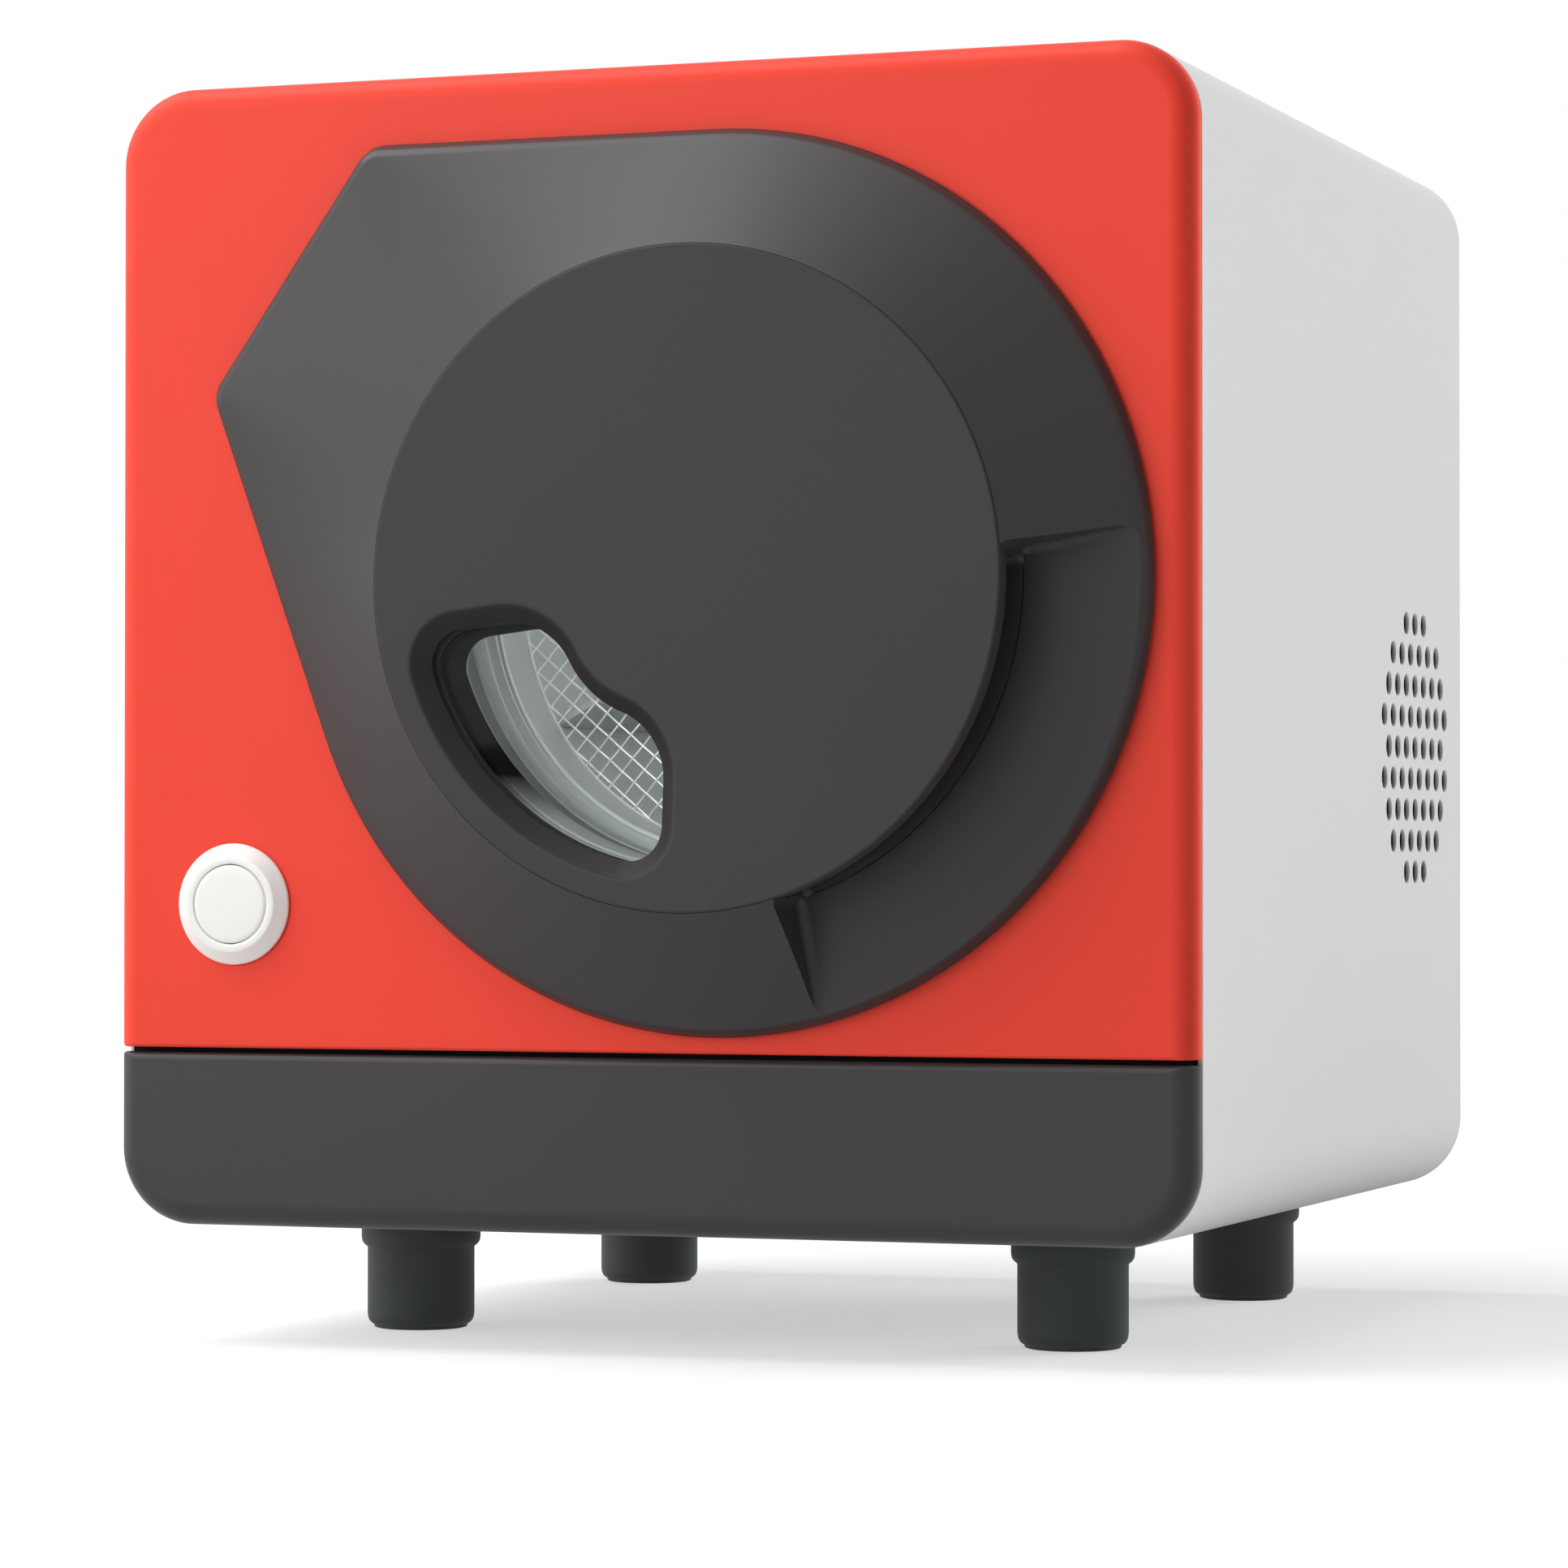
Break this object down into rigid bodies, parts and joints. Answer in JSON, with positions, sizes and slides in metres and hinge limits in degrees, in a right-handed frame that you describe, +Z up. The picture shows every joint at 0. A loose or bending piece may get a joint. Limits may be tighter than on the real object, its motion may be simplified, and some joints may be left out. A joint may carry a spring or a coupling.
{
  "type": "home coffee bean roaster",
  "caption": "Countertop drum roaster: rounded box on feet, red front with a round side-hinged door, window, start button, turning drum, geared drive and exhaust fan.",
  "frame": {"origin": "on the surface under the feet, at the middle of the object's width and depth", "axes": "+X to the right seen from the front, +Y from the door towards the back, +Z up"},
  "size_m": [0.24, 0.262, 0.2698],
  "materials": {
    "casing_white": "satin white powder coat",
    "panel_red": "satin red moulded plastic",
    "plastic_charcoal": "satin charcoal moulded plastic",
    "foot_rubber": "dark rubber",
    "button_white": "pearl white plastic",
    "polished_steel": "bright brushed stainless steel",
    "sheet_steel": "plain stainless sheet",
    "dark_steel": "dark plated steel",
    "brass": "machined brass",
    "insulation": "mineral fibre blanket",
    "silicone": "moulded silicone",
    "window_glass": "clear tempered glass",
    "circuit_board": "green circuit board with parts"
  },
  "bodies": {
    "housing": {"outer_casing": "casing_white", "front_panel": "panel_red", "lower_front_band": "plastic_charcoal", "rear_panel": "plastic_charcoal", "base_tray": "sheet_steel", "front_bulkhead": "dark_steel", "rear_bulkhead": "sheet_steel", "foot_front_left": "foot_rubber", "foot_front_right": "foot_rubber", "foot_rear_left": "foot_rubber", "foot_rear_right": "foot_rubber", "foot_screw_front_left": "dark_steel", "foot_screw_front_right": "dark_steel", "foot_screw_rear_left": "dark_steel", "foot_screw_rear_right": "dark_steel", "rear_screw_low_left": "dark_steel", "rear_screw_low_right": "dark_steel", "rear_screw_high_left": "dark_steel", "rear_screw_high_right": "dark_steel", "button_ring": "button_white", "button_spring": "polished_steel", "button_switch": "plastic_charcoal", "button_nut": "sheet_steel", "hinge_bracket_lower": "dark_steel", "hinge_bracket_upper": "dark_steel", "hinge_pin": "polished_steel", "strike_plate": "polished_steel", "chamber_mouth": "polished_steel", "chamber_shell": "sheet_steel", "chamber_insulation": "insulation", "heating_element_left": "dark_steel", "heating_element_right": "dark_steel", "temperature_probe": "polished_steel", "chamber_lamp": "window_glass", "drum_bearing": "brass", "motor_bracket": "sheet_steel", "gear_motor": "dark_steel", "exhaust_duct": "sheet_steel", "fan_frame": "plastic_charcoal", "inlet_socket": "plastic_charcoal", "control_board": "circuit_board"},
    "door": {"door_shell": "plastic_charcoal", "door_disc": "plastic_charcoal", "window_glass": "window_glass", "window_gasket": "foot_rubber", "door_liner": "sheet_steel", "door_seal": "silicone", "door_magnet": "polished_steel"},
    "button": {"button_cap": "button_white"},
    "drum": {"drum_front_ring": "polished_steel", "drum_front_screen": "polished_steel", "drum_wall": "polished_steel", "drum_back_plate": "polished_steel", "drum_vane_1": "polished_steel", "drum_vane_2": "polished_steel", "drum_vane_3": "polished_steel", "drum_shaft": "polished_steel", "drum_gear": "brass"},
    "pinion": {"drive_pinion": "polished_steel"},
    "fan": {"fan_impeller": "plastic_charcoal"}
  },
  "joints": [
    {"name": "door_hinge", "type": "hinge", "parent": "housing", "child": "door", "pos_m": [-0.07603, -0.1123, 0.2275], "axis": [-0.575, 0, -0.8181], "range_deg": [0, 110]},
    {"name": "button_press", "type": "slide", "parent": "housing", "child": "button", "axis": [0, 1, 0], "range_m": [0, 0.0018], "stiffness_N_per_m": 500, "springref_m": -0.001, "deforming": ["button_spring"]},
    {"name": "drum_spin", "type": "hinge", "parent": "housing", "child": "drum", "pos_m": [0.0183, 0.05, 0.1612], "axis": [0, 1, 0], "continuous": true},
    {"name": "pinion_spin", "type": "hinge", "parent": "housing", "child": "pinion", "pos_m": [-0.02, 0.05, 0.12906], "axis": [0, 1, 0], "continuous": true},
    {"name": "fan_spin", "type": "hinge", "parent": "housing", "child": "fan", "pos_m": [0.046, 0.11, 0.1978], "axis": [0, 1, 0], "continuous": true}
  ],
  "couplings": [
    {"joint": "pinion_spin", "follows": "drum_spin", "ratio": -3}
  ]
}
